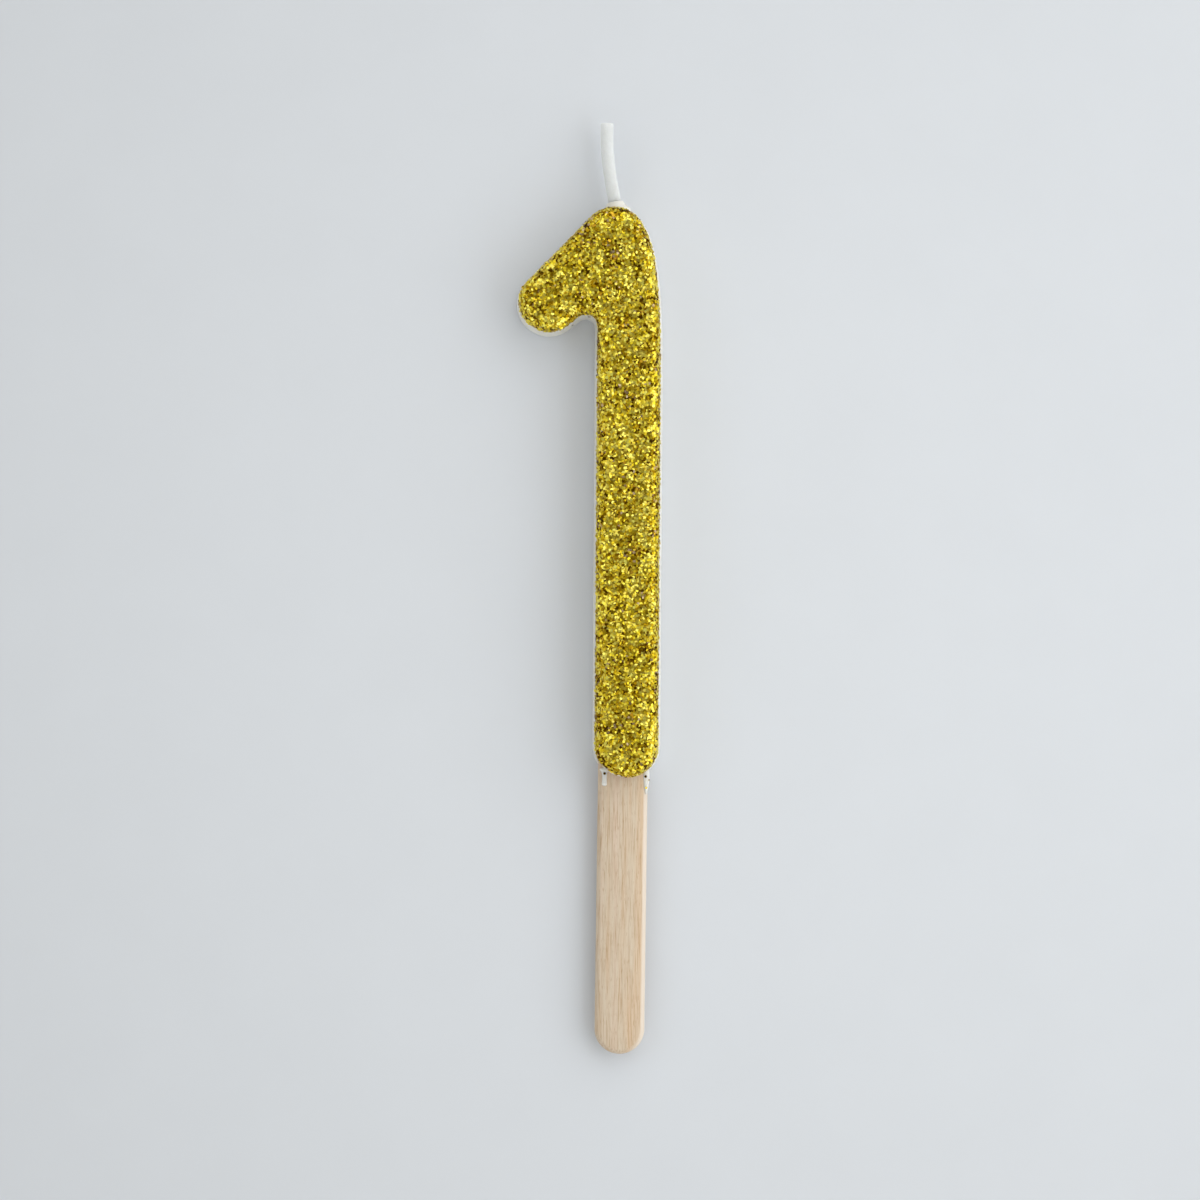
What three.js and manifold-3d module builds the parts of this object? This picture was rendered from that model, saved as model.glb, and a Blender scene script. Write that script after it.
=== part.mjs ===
// A number candle in the shape of a 1: a cast wax numeral with a glittered front, on a flat
// wooden stick, with a cotton wick at the top.
// Millimetres, +Z up. The candle lies on its flat back. +Y runs up the numeral to the wick and
// +X to its right. The origin is on the back face, at the centre of the stem's round foot.

import * as THREE from "three";
import { mergeVertices } from "three/addons/utils/BufferGeometryUtils.js";
import Module from "manifold-3d";

// Outline of the numeral, at the back edge of the wax
const stemRadius = 4.72; // half the stem's width, and the radius of its foot
const headHeight = 68.85; // foot centre to head centre
const headShift = 2.1; // the head's centre lies this far left of the stem's centre line
const headRadius = 4.77;
const flagReach = 8.83; // head centre to flag tip centre, to the left
const flagDrop = 8.65; // and downwards
const flagTipRadius = 4.5;
const undersideSlope = 38; // degrees; the flag's upper side is a tangent of both circles
const notchRadius = 1.2; // fillet where the flag's underside meets the stem
const bendDrop = 18.8; // head centre down to where the right side starts to bend
const bendTurn = 40; // degrees round the head, from +X, where that bend ends
const bendLowerHandle = 12;
const bendUpperHandle = 4;

// The casting
const waxThickness = 7;
const draftAngle = 8; // degrees, so that the casting leaves its mould
const frontRound = 1.3;
const backRound = 0.3;

// The glittered coat, from the wax outwards
const adhesiveThickness = 0.1;
const glitterThickness = 0.2;
const coatGap = 0.03;
const coatSkirt = 0.8; // the coat reaches this far down the wall, below the front round

// The wooden stick
const stickWidth = 6.8;
const stickThickness = 1.6;
const stickEdgeRound = 0.65;
const stickBelowFoot = 37.25; // length in the open, from the foot of the wax to the tip
const stickInWax = 29.1; // foot of the wax to the stick's hidden end
const stickHeight = 1.6; // wax behind the stick
const stickShift = -0.45; // its centre line at the foot, left of the stem's
const stickLean = 0.4; // degrees, tip to the left
const stickGap = 0.15;

// The wick
const wickDiameter = 1.8;
const wickHeight = 3.4; // its centre, above the back face
const wickStub = 11.5; // length in the open, from the head's wall
const wickLean = 1.3; // its tip lies this far left of its root
const wickAboveStick = 4.5; // wax between the stick's hidden end and the wick's
const wickRootShift = 0.21; // where it leaves the head, right of the head's centre
const wickTurnDepth = 4; // below the root the wick turns into the stem's line over twice this
const wickGap = 0.15;
const collarRise = 0.9; // wax drawn up round the wick at its root
const collarSpread = 0.75;
const collarLip = 0.2;

// Wax that ran on to the stick when the numeral was poured
const dripWidth = 0.95;
const dripLength = 2.2;
const dripRise = 0.45;
const dripFromEdge = 0.9; // centre of the drip, in from the stick's left edge
const smearLength = 3.4;
const smearProud = 0.5; // beyond the stick's right edge
const smearWrap = 0.6; // on to the stick's front face
const runRoot = 0.4; // the runs start this far inside the foot's outline
const runGap = 0.1;

const glitterUnder = 2 * coatGap + adhesiveThickness; // wax to the glitter's underside
const coatThickness = glitterUnder + glitterThickness;

// Fineness of the facets
const outlineStep = 8; // degrees for each step of an arc
const bendSteps = 12;
const roundSteps = 4;
const stickEndSteps = 10;
const wickSides = 10;
const wickSteps = 44;

const radians = THREE.MathUtils.degToRad;
const wasm = await Module();
wasm.setup();

// A closed geometry as a solid that can be joined and cut.
function solid(geometry) {
  const bare = geometry.clone();
  bare.deleteAttribute("normal");
  bare.deleteAttribute("uv");
  const merged = mergeVertices(bare, 1e-4);
  const vertProperties = merged.getAttribute("position").array;
  const triVerts = new Uint32Array(merged.getIndex().array);
  return new wasm.Manifold(new wasm.Mesh({ numProp: 3, vertProperties, triVerts }));
}

// A joined or cut solid as a geometry again.
function geometryOf(made) {
  const mesh = made.getMesh();
  const geometry = new THREE.BufferGeometry();
  geometry.setAttribute("position", new THREE.BufferAttribute(mesh.vertProperties, 3));
  geometry.setIndex(new THREE.BufferAttribute(mesh.triVerts, 1));
  return geometry;
}

// Points along an arc, each with the direction that faces away from the wax: side is 1 where
// the wax fills the arc, and -1 where the arc is a notch in the wax.
function arc(centre, radius, from, to, side) {
  const steps = Math.ceil(Math.abs(to - from) / radians(outlineStep));
  const points = [];
  for (let i = 0; i <= steps; i++) {
    const angle = from + ((to - from) * i) / steps;
    const away = new THREE.Vector2(Math.cos(angle), Math.sin(angle));
    const at = away.clone().multiplyScalar(radius).add(centre);
    points.push({ at, away: away.multiplyScalar(side) });
  }
  return points;
}

// The right side's bend, from the straight stem up to the head.
function bend(head) {
  const turn = radians(bendTurn);
  const round = new THREE.Vector2(Math.cos(turn), Math.sin(turn));
  const top = round.clone().multiplyScalar(headRadius).add(head);
  const bottom = new THREE.Vector2(stemRadius, head.y - bendDrop);
  const curve = new THREE.CubicBezierCurve(
    bottom,
    new THREE.Vector2(stemRadius, bottom.y + bendLowerHandle),
    new THREE.Vector2(top.x + bendUpperHandle * round.y, top.y - bendUpperHandle * round.x),
    top,
  );
  const points = [];
  for (let i = 0; i < bendSteps; i++) {
    const along = curve.getTangent(i / bendSteps);
    points.push({
      at: curve.getPoint(i / bendSteps),
      away: new THREE.Vector2(along.y, -along.x),
    });
  }
  return points;
}

// The numeral's outline at the back edge, counterclockwise from the left of the foot. The flag
// narrows from the head to its round tip and is filleted into the stem underneath.
function numeralOutline() {
  const foot = new THREE.Vector2(0, 0);
  const head = new THREE.Vector2(-headShift, headHeight);
  const tip = new THREE.Vector2(head.x - flagReach, head.y - flagDrop);
  const stroke = tip.clone().sub(head);
  const spread = Math.acos((headRadius - flagTipRadius) / stroke.length());
  const upper = stroke.angle() - spread;
  const lower = radians(270 + undersideSlope);
  const under = new THREE.Vector2(Math.cos(lower), Math.sin(lower));
  const notchX = -stemRadius - notchRadius;
  const reach = under.dot(tip) + flagTipRadius + notchRadius;
  const notch = new THREE.Vector2(notchX, (reach - under.x * notchX) / under.y);
  return [
    ...arc(foot, stemRadius, Math.PI, 2 * Math.PI, 1),
    ...bend(head),
    ...arc(head, headRadius, radians(bendTurn), upper, 1),
    ...arc(tip, flagTipRadius, upper, lower, 1),
    ...arc(notch, notchRadius, lower - Math.PI, 0, -1),
  ];
}

// The outline drawn in by inset, at a height.
function ring(outline, inset, height) {
  return outline.map(
    ({ at, away }) => new THREE.Vector3(at.x - away.x * inset, at.y - away.y * inset, height),
  );
}

// A closed solid through rings of equally many points, with a flat cap at each end.
function loft(rings) {
  const count = rings[0].length;
  const index = [];
  for (let r = 0; r + 1 < rings.length; r++) {
    for (let i = 0; i < count; i++) {
      const a = r * count + i;
      const b = r * count + ((i + 1) % count);
      index.push(a, b, b + count, a, b + count, a + count);
    }
  }
  const last = (rings.length - 1) * count;
  for (const [a, b, c] of THREE.ShapeUtils.triangulateShape(rings[0], [])) {
    index.push(a, c, b);
  }
  for (const [a, b, c] of THREE.ShapeUtils.triangulateShape(rings.at(-1), [])) {
    index.push(last + a, last + b, last + c);
  }
  const geometry = new THREE.BufferGeometry().setFromPoints(rings.flat());
  geometry.setIndex(index);
  return geometry;
}

// How far the drafted wall stands in from the back outline at a height.
function wallInset(height) {
  return Math.tan(radians(draftAngle)) * (height - backRound);
}

const roundCentreHeight = waxThickness - frontRound;
const roundCentreInset = wallInset(roundCentreHeight) + frontRound / Math.cos(radians(draftAngle));

// Inset and height of the front round, seen a distance outside the wax.
function frontRoundProfile(distance) {
  const start = radians(draftAngle);
  const radius = frontRound + distance;
  const profile = [];
  for (let i = 0; i <= roundSteps; i++) {
    const angle = start + ((Math.PI / 2 - start) * i) / roundSteps;
    profile.push([
      roundCentreInset - radius * Math.cos(angle),
      roundCentreHeight + radius * Math.sin(angle),
    ]);
  }
  return profile;
}

// The plain casting, or with a clearance the space it has to itself.
function castingGeometry(outline, clearance = 0) {
  const profile = [[backRound - clearance, -clearance]];
  for (let i = 1; i <= roundSteps; i++) {
    const angle = (Math.PI / 2) * (i / roundSteps);
    profile.push([
      backRound - (backRound + clearance) * Math.sin(angle),
      backRound - (backRound + clearance) * Math.cos(angle),
    ]);
  }
  profile.push(...frontRoundProfile(clearance));
  return loft(profile.map(([inset, height]) => ring(outline, inset, height)));
}

// One layer of the coat: a shell over the front, its round and the top of the wall.
function coatGeometry(outline, under, thickness, clearance = 0) {
  const hem = roundCentreHeight - coatSkirt - clearance;
  const wall = (distance) => [wallInset(hem) - distance / Math.cos(radians(draftAngle)), hem];
  const over = under + thickness;
  const inside = [wall(under), ...frontRoundProfile(under)].reverse();
  const outside = [wall(over), ...frontRoundProfile(over)];
  return loft([...inside, ...outside].map(([inset, height]) => ring(outline, inset, height)));
}

// The stick, flat and round ended, with eased edges. Grown by a clearance it is the slot.
function stickGeometry(clearance = 0) {
  const radius = stickWidth / 2 + clearance;
  const low = -stemRadius - stickBelowFoot + stickWidth / 2;
  const high = -stemRadius + stickInWax - stickWidth / 2;
  const shape = new THREE.Shape();
  shape.absarc(0, low, radius, Math.PI, 2 * Math.PI);
  shape.absarc(0, high, radius, 0, Math.PI);
  const ease = stickEdgeRound;
  const geometry = new THREE.ExtrudeGeometry(shape, {
    depth: stickThickness + 2 * clearance - 2 * ease,
    curveSegments: stickEndSteps,
    bevelSize: ease,
    bevelThickness: ease,
    bevelOffset: -ease,
    bevelSegments: 3,
  });
  geometry.translate(0, 0, ease - clearance);
  placeOnStick(geometry);
  return geometry;
}

// From the stick's own frame, with its back at height 0, to its leaning place in the numeral.
function placeOnStick(geometry) {
  geometry.translate(0, stemRadius, 0);
  geometry.rotateZ(radians(-stickLean));
  geometry.translate(stickShift, -stemRadius, stickHeight);
}

// The wick's route: up the stem from above the stick and out through the head's wall, where it
// bends over to the left and then stands straight.
function wickRoute() {
  const start = -stemRadius + stickInWax + wickAboveStick;
  const rootX = -headShift + wickRootShift;
  const rootY = headHeight + headRadius - wallInset(wickHeight);
  const turnY = rootY - 3 * wickTurnDepth;
  const hidden = [
    [0, start],
    [0, (start + turnY) / 2],
    [0.25 * rootX, turnY],
    [0.75 * rootX, rootY - wickTurnDepth],
  ];
  const stub = [
    [0, 0],
    [0.35, 0.2],
    [0.65, 0.4],
    [0.95, 0.7],
    [1, 1],
  ].map(([lean, along]) => [rootX - lean * wickLean, rootY + along * wickStub]);
  const route = [...hidden, ...stub].map(([x, y]) => new THREE.Vector3(x, y, wickHeight));
  return { route, root: route[hidden.length], next: route[hidden.length + 1] };
}

// A round bar along the wick's route, lengthened at its lower end.
function wickGeometry(wick, radius, lower = 0) {
  const points = wick.route.map((point) => point.clone());
  points[0].y -= lower;
  const section = new THREE.Shape().absarc(0, 0, radius, 0, 2 * Math.PI);
  return new THREE.ExtrudeGeometry(section, {
    steps: wickSteps,
    curveSegments: wickSides / 2,
    extrudePath: new THREE.CatmullRomCurve3(points),
  });
}

// Wax drawn up round the wick where it leaves the head.
function collarGeometry({ root, next }) {
  const rim = wickDiameter / 2 + wickGap + collarLip;
  const profile = new THREE.Path()
    .moveTo(0, -collarRise)
    .lineTo(rim + collarSpread, -collarRise)
    .lineTo(rim + collarSpread, -collarRise / 3)
    .quadraticCurveTo(rim, 0, rim, collarRise)
    .lineTo(0, collarRise);
  const geometry = new THREE.LatheGeometry(profile.getPoints(5), 20);
  const along = next.clone().sub(root).normalize();
  geometry.applyQuaternion(
    new THREE.Quaternion().setFromUnitVectors(new THREE.Vector3(0, 1, 0), along),
  );
  geometry.translate(root.x, root.y, root.z);
  return geometry;
}

// The casting with the wax round the wick's root, the stick's slot and the wick's bore. The
// wax round the root stays clear of the coat.
function waxBody(outline, wick) {
  const coatSpace = coatGeometry(outline, 0, coatThickness + coatGap, coatGap);
  const collar = solid(collarGeometry(wick)).subtract(solid(coatSpace));
  return geometryOf(
    solid(castingGeometry(outline))
      .add(collar)
      .subtract(solid(stickGeometry(stickGap)))
      .subtract(solid(wickGeometry(wick, wickDiameter / 2 + wickGap, wickGap))),
  );
}

// A rounded lump of wax on the stick, cut to clear the stick and the casting.
function waxRun(outline, size, centre) {
  const lump = new THREE.SphereGeometry(1, 18, 12);
  lump.scale(size.x / 2, size.y / 2, size.z / 2);
  lump.translate(centre.x, centre.y, centre.z);
  placeOnStick(lump);
  return geometryOf(
    solid(lump)
      .subtract(solid(stickGeometry(runGap)))
      .subtract(solid(castingGeometry(outline, runGap))),
  );
}

// The drip at the left lies on the stick's front face.
function waxDrip(outline) {
  const x = -stickWidth / 2 + dripFromEdge;
  const top = -Math.sqrt(stemRadius ** 2 - (x + stickShift) ** 2);
  return waxRun(
    outline,
    new THREE.Vector3(dripWidth, dripLength, 2 * dripRise),
    new THREE.Vector3(x, top - dripLength / 2 + runRoot, stickThickness + runGap),
  );
}

// The smear at the right wraps the stick's edge.
function waxSmear(outline) {
  const edge = stickWidth / 2;
  const top = -Math.sqrt(stemRadius ** 2 - (edge + stickShift) ** 2);
  return waxRun(
    outline,
    new THREE.Vector3(smearProud + smearWrap, smearLength, stickThickness + smearWrap),
    new THREE.Vector3(
      edge + (smearProud - smearWrap) / 2,
      top - smearLength / 2 + runRoot,
      stickThickness / 2 + smearWrap / 2,
    ),
  );
}

// Finishes, as colour, roughness and metalness
const waxFinish = { color: 0xf4f2ec, roughness: 0.45, metalness: 0 };
const finishes = {
  wax: waxFinish,
  adhesive: { color: 0xd8b24a, roughness: 0.25, metalness: 0 },
  glitter: { color: 0xc9a227, roughness: 0.3, metalness: 1 },
  birch: { color: 0xd3bfa6, roughness: 0.7, metalness: 0 },
  cotton: { color: 0xf0efeb, roughness: 0.8, metalness: 0 },
};

function part(name, geometry, finish) {
  const mesh = new THREE.Mesh(geometry, new THREE.MeshStandardMaterial(finish));
  mesh.name = name;
  mesh.geometry.computeVertexNormals();
  return mesh;
}

function numberCandle() {
  const outline = numeralOutline();
  const wick = wickRoute();
  const candle = new THREE.Group();
  candle.name = "number_candle";
  candle.add(
    part("wax_body", waxBody(outline, wick), finishes.wax),
    part("adhesive_film", coatGeometry(outline, coatGap, adhesiveThickness), finishes.adhesive),
    part("glitter_layer", coatGeometry(outline, glitterUnder, glitterThickness), finishes.glitter),
    part("wood_stick", stickGeometry(), finishes.birch),
    part("wick", wickGeometry(wick, wickDiameter / 2), finishes.cotton),
    part("wax_drip", waxDrip(outline), finishes.wax),
    part("wax_smear", waxSmear(outline), finishes.wax),
  );
  return candle;
}

export default numberCandle();
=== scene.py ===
# A glittered number candle, lying face up on a pale table under soft light from the right.
# Lengths are metres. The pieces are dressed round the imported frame, in its own axes: +Z out of
# the glittered front, +Y up the stem to the wick.
import math

import bmesh
import bpy
import numpy as np
from bpy.props import FloatProperty, FloatVectorProperty, IntProperty, PointerProperty
from mathutils import Matrix, Vector, noise
from mathutils.bvhtree import BVHTree


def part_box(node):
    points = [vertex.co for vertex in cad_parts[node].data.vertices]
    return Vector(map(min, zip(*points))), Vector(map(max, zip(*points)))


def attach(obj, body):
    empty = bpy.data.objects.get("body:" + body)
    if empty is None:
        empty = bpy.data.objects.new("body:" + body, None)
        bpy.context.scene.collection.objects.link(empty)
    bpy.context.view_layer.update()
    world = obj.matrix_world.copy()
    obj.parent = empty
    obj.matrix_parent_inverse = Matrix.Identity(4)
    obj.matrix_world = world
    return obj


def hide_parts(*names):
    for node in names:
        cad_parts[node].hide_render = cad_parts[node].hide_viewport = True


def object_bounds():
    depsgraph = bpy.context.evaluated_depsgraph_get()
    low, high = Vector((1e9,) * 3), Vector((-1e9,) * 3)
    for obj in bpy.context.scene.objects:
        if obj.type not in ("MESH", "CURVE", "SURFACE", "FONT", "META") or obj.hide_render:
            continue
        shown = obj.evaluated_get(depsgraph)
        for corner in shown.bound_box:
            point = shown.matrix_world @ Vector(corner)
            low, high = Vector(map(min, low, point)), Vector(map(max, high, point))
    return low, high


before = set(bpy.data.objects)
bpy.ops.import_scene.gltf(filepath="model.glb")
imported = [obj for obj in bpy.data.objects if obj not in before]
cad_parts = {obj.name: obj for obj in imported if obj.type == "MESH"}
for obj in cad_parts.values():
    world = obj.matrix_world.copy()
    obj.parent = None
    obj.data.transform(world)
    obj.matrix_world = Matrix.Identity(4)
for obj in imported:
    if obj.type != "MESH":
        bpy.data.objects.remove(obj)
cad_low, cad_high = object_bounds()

bl_info = {
    "name": "Glittered Number Candle",
    "version": (1, 0, 0),
    "blender": (4, 5, 0),
    "location": "3D View > Sidebar > Candle",
    "description": "Dresses a number candle: wax, glitter, birch stick and waxed wick",
    "category": "Add Mesh",
}

MM = 0.001
MERGE = 0.001 * MM  # vertices this close are one
CREASE = math.radians(50)  # edges sharper than this stay sharp
TOUCH = 0.02 * MM  # the table lies this far under the wax, so that the two faces don't flicker


def linear(hex_colour):
    """An sRGB hex colour as the linear RGBA that nodes use."""
    parts = [int(hex_colour[i : i + 2], 16) / 255 for i in (1, 3, 5)]
    return [c / 12.92 if c <= 0.04045 else ((c + 0.055) / 1.055) ** 2.4 for c in parts] + [1.0]


# Settings


class NumeralSettings(bpy.types.PropertyGroup):
    voxel: FloatProperty(
        name="Mesh Size",
        description="Width of the wax mesh's faces",
        default=0.22 * MM,
        unit="LENGTH",
    )
    smoothing: IntProperty(
        name="Smoothing",
        description="How many times the wax mesh is smoothed",
        default=6,
    )
    waviness: FloatProperty(
        name="Waviness",
        description="Depth of the slow hollows in the cast wall",
        default=0.06 * MM,
        unit="LENGTH",
    )
    colour: FloatVectorProperty(
        name="Wax Colour",
        description="Colour of the paraffin wax",
        subtype="COLOR",
        size=4,
        min=0,
        max=1,
        default=linear("#e9e7e1"),
    )


class GlitterSettings(bpy.types.PropertyGroup):
    flake_width: FloatProperty(
        name="Flake Width",
        description="Width of a six-sided flake across its flats",
        default=0.38 * MM,
        unit="LENGTH",
    )
    flake_thickness: FloatProperty(
        name="Flake Thickness",
        description="Thickness of the metallised film that the flakes are cut from",
        default=0.03 * MM,
        unit="LENGTH",
    )
    spacing: FloatProperty(
        name="Spacing",
        description="Least distance between the middles of two flakes",
        default=0.215 * MM,
        unit="LENGTH",
    )
    tilt: FloatProperty(
        name="Tilt",
        description="How far the flakes lean from the wax, as a standard deviation",
        default=math.radians(18),
        subtype="ANGLE",
    )
    seed: IntProperty(
        name="Seed",
        description="Start of the random scatter",
        default=11,
    )


class StickSettings(bpy.types.PropertyGroup):
    lean: FloatProperty(
        name="Lean",
        description="How far the stick turns from the stem, its tip to the left",
        default=math.radians(0.4),
        subtype="ANGLE",
    )
    edge_round: FloatProperty(
        name="Edge Rounding",
        description="Radius of the sanded edges",
        default=0.7 * MM,
        unit="LENGTH",
    )
    colour: FloatVectorProperty(
        name="Birch Colour",
        description="Colour of the pale early wood",
        subtype="COLOR",
        size=4,
        min=0,
        max=1,
        default=linear("#d7c8b3"),
    )


class WickSettings(bpy.types.PropertyGroup):
    strands: IntProperty(
        name="Strands",
        description="Strands of the braid that are wound each way",
        default=4,
    )
    pitch: FloatProperty(
        name="Pitch",
        description="Length of wick in which a strand goes round once",
        default=5.2 * MM,
        unit="LENGTH",
    )
    relief: FloatProperty(
        name="Relief",
        description="Depth of the grooves that the wax leaves open between the strands",
        default=0.05 * MM,
        unit="LENGTH",
    )
    step: FloatProperty(
        name="Mesh Size",
        description="Length of the faces along the wick",
        default=0.1 * MM,
        unit="LENGTH",
    )


class StageSettings(bpy.types.PropertyGroup):
    height: FloatProperty(
        name="Camera Height",
        description="Height of the camera above the candle's front",
        default=0.6,
        unit="LENGTH",
    )
    frame_width: FloatProperty(
        name="Framed Width",
        description="Width of the picture at the candle's front",
        default=162.2 * MM,
        unit="LENGTH",
    )
    table_colour: FloatVectorProperty(
        name="Table Colour",
        description="Colour of the table top",
        subtype="COLOR",
        size=4,
        min=0,
        max=1,
        default=linear("#d9dde3"),
    )
    window_power: FloatProperty(
        name="Window Power",
        description="Power of the wide soft lamp at the upper right",
        default=0.95,
        unit="POWER",
    )
    room_light: FloatProperty(
        name="Room Light",
        description="Strength of the light from all round",
        default=1.1,
        min=0,
    )
    room_slope: FloatProperty(
        name="Room Slope",
        description="How much brighter the room is on the window's side, and darker opposite",
        default=0.32,
        min=0,
        max=1,
    )


class CandleSettings(bpy.types.PropertyGroup):
    numeral: PointerProperty(type=NumeralSettings)
    glitter: PointerProperty(type=GlitterSettings)
    stick: PointerProperty(type=StickSettings)
    wick: PointerProperty(type=WickSettings)
    stage: PointerProperty(type=StageSettings)


# Modelling helpers


def activate(piece):
    """Selects one object alone and makes it the active one."""
    bpy.ops.object.select_all(action="DESELECT")
    piece.select_set(True)
    bpy.context.view_layer.objects.active = piece


def new_piece(name, mesh):
    """An object of that mesh in the scene, selected alone."""
    piece = bpy.data.objects.new(name, mesh)
    bpy.context.scene.collection.objects.link(piece)
    activate(piece)
    return piece


def copy_of_node(node, name):
    """A copy of a CAD node's mesh, with its loose triangles merged into one skin."""
    piece = new_piece(name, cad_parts[node].data.copy())
    piece.data.materials.clear()
    bpy.ops.object.mode_set(mode="EDIT")
    bpy.ops.mesh.select_all(action="SELECT")
    bpy.ops.mesh.remove_doubles(threshold=MERGE)
    bpy.ops.object.mode_set(mode="OBJECT")
    return piece


def apply_modifier(piece, kind, **settings):
    """Adds a modifier with its settings and applies it."""
    activate(piece)
    modifier = piece.modifiers.new(kind.title(), kind)
    for name, value in settings.items():
        setattr(modifier, name, value)
    bpy.ops.object.modifier_apply(modifier=modifier.name)


def place(piece, slot, material, *nodes):
    """Shades a finished piece smooth up to a crease and sets it on the frame for its nodes."""
    activate(piece)
    bpy.ops.object.shade_smooth_by_angle(angle=CREASE)
    piece.data.materials.clear()
    piece.data.materials.append(bpy.data.materials[material])
    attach(piece, "root")
    if nodes:
        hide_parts(*nodes)


def surface(piece):
    """A piece's faces as a tree that answers which point of them is nearest."""
    mesh = piece.data
    return BVHTree.FromPolygons(
        [vertex.co for vertex in mesh.vertices], [face.vertices[:] for face in mesh.polygons]
    )


# Materials


def add(tree, kind, inputs=None, stops=None, **settings):
    """Adds a node with its settings; inputs are linked from a socket or set to a value."""
    node = tree.nodes.new(kind)
    for name, value in settings.items():
        setattr(node, name, value)
    for name, value in (inputs or {}).items():
        if isinstance(value, bpy.types.NodeSocket):
            tree.links.new(value, node.inputs[name])
        else:
            node.inputs[name].default_value = value
    if stops:
        elements = node.color_ramp.elements
        while len(elements) < len(stops):
            elements.new(1)
        for element, (position, colour) in zip(elements, stops):
            element.position = position
            element.color = colour
    return node


def new_tree(name):
    """The empty node tree of a new material."""
    material = bpy.data.materials.new(name)
    material.use_nodes = True
    material.node_tree.nodes.clear()
    return material.node_tree


def grey(value):
    """A grey as RGBA."""
    return (value, value, value, 1)


def place_on(tree):
    """Where on its piece each point of the surface lies."""
    return add(tree, "ShaderNodeTexCoord").outputs["Object"]


def facing(tree):
    """The way that the surface faces at each point."""
    return add(tree, "ShaderNodeNewGeometry").outputs["Normal"]


def split(tree, vector):
    """A vector's X, Y and Z."""
    return add(tree, "ShaderNodeSeparateXYZ", {"Vector": vector}).outputs


def pattern(tree, at, scale, detail, **more):
    """Noise whose patches are about one part in scale of a metre wide."""
    inputs = {"Vector": at, "Scale": scale, "Detail": detail, **more}
    return add(tree, "ShaderNodeTexNoise", inputs).outputs["Fac"]


def remap(tree, value, start, end, low=0.0, high=1.0):
    """A value from start to end as one from low to high, held at both ends."""
    inputs = {"Value": value, "From Min": start, "From Max": end, "To Min": low, "To Max": high}
    return add(tree, "ShaderNodeMapRange", inputs).outputs["Result"]


def ramp(tree, value, *stops):
    """A value as a colour between stops, each a position and a colour."""
    return add(tree, "ShaderNodeValToRGB", {"Fac": value}, stops).outputs["Color"]


def blend(tree, factor, first, second, data_type="RGBA", **settings):
    """The first turning into the second as the factor rises."""
    inputs = {"Factor": factor, "A": first, "B": second}
    return add(tree, "ShaderNodeMix", inputs, data_type=data_type, **settings).outputs["Result"]


def darken(tree, colour, by, factor=1.0):
    """A colour multiplied by another, as strongly as the factor says."""
    return blend(tree, factor, colour, by, blend_type="MULTIPLY")


def maths(tree, operation, *values):
    """One sum on numbers or sockets."""
    return add(tree, "ShaderNodeMath", dict(enumerate(values)), operation=operation).outputs[0]


def measure(tree, operation, *vectors):
    """One number worked out from vectors."""
    inputs = dict(enumerate(vectors))
    return add(tree, "ShaderNodeVectorMath", inputs, operation=operation).outputs["Value"]


def relief(tree, height, strength, depth):
    """Normals bent as if the height stood that deep in the surface."""
    inputs = {"Height": height, "Strength": strength, "Distance": depth}
    return add(tree, "ShaderNodeBump", inputs).outputs["Normal"]


def end_in_shader(tree, inputs):
    """Ends a material's tree in its one shader."""
    shader = add(tree, "ShaderNodeBsdfPrincipled", inputs)
    add(tree, "ShaderNodeOutputMaterial", {"Surface": shader.outputs["BSDF"]})


def paraffin_wax():
    """Paraffin wax, cast in a mould: milky, satin, light sinks a little way in."""
    colour = tuple(bpy.context.scene.candle.numeral.colour)
    tree = new_tree("paraffin_wax_cast")
    at = place_on(tree)
    # Cloudy patches some 5 mm wide, where the wax set at different speeds
    cloud = pattern(tree, at, scale=1 / (5 * MM), detail=4.0, Roughness=0.6)
    # Satin skin: the gloss changes over about 0.8 mm
    skin = pattern(tree, at, scale=1 / (0.8 * MM), detail=3.0)
    # Fine orange peel from the mould, drawn 0.35 mm wide so that it shows
    peel = pattern(tree, at, scale=1 / (0.35 * MM), detail=2.0)
    end_in_shader(
        tree,
        {
            "Base Color": ramp(tree, cloud, (0.3, linear("#e1ded5")), (0.62, colour)),
            "Roughness": remap(tree, skin, 0.3, 0.7, low=0.36, high=0.52),
            "Normal": relief(tree, peel, strength=0.5, depth=0.02 * MM),
            "IOR": 1.44,
            "Subsurface Weight": 0.5,
            "Subsurface Radius": (1.0, 0.85, 0.7),
            "Subsurface Scale": 1.2 * MM,
        },
    )


# Tint, share of the flakes and roughness. The tints are partly painted light: the palest stand in
# for highlights and the darkest for shade between flakes
GOLD_FILMS = (
    ("#fdec68", 0.24, 0.14),
    ("#f3dc4a", 0.26, 0.16),
    ("#e0c62c", 0.21, 0.18),
    ("#c5a518", 0.13, 0.2),
    ("#9e7a0a", 0.085, 0.24),
    # The darkest film is painted shade, for the dark gaps between flakes
    ("#5c3e00", 0.05, 0.3),
    ("#c9ae82", 0.015, 0.2),
    ("#dcae34", 0.01, 0.2),
)


def gold_films():
    """Gold-lacquered aluminium on polyester film, die cut into flakes: a mirror in each flake.

    The flakes differ in tint and polish, and each flake's one tint is a constant on its shader;
    the spread of tints is partly painted highlight and painted shade.
    """
    for number, (tint, _, roughness) in enumerate(GOLD_FILMS, 1):
        tree = new_tree(f"gold_lacquered_film_{number}")
        inputs = {"Base Color": linear(tint), "Metallic": 1.0, "Roughness": roughness}
        end_in_shader(tree, inputs)


# The coat. The glitter was shaken on from the upper right, so the lowest part of the round
# stays bare on the side that faces away, most of all at the foot.
BARE_SIDE = Vector((-0.42, -0.907, 0))
BARE_LIFT = 1.9 * MM
BARE_POWER = 4  # how quickly the bare part ends as the wall turns away from that side
BARE_ABOVE_FOOT = 0.3  # share of that lift on the flag
FOOT_END = 1 * MM  # the change from one to the other reaches this far up and down
HEM_FADE = 0.5 * MM  # the glue turns from bare to dusted over this height


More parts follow.
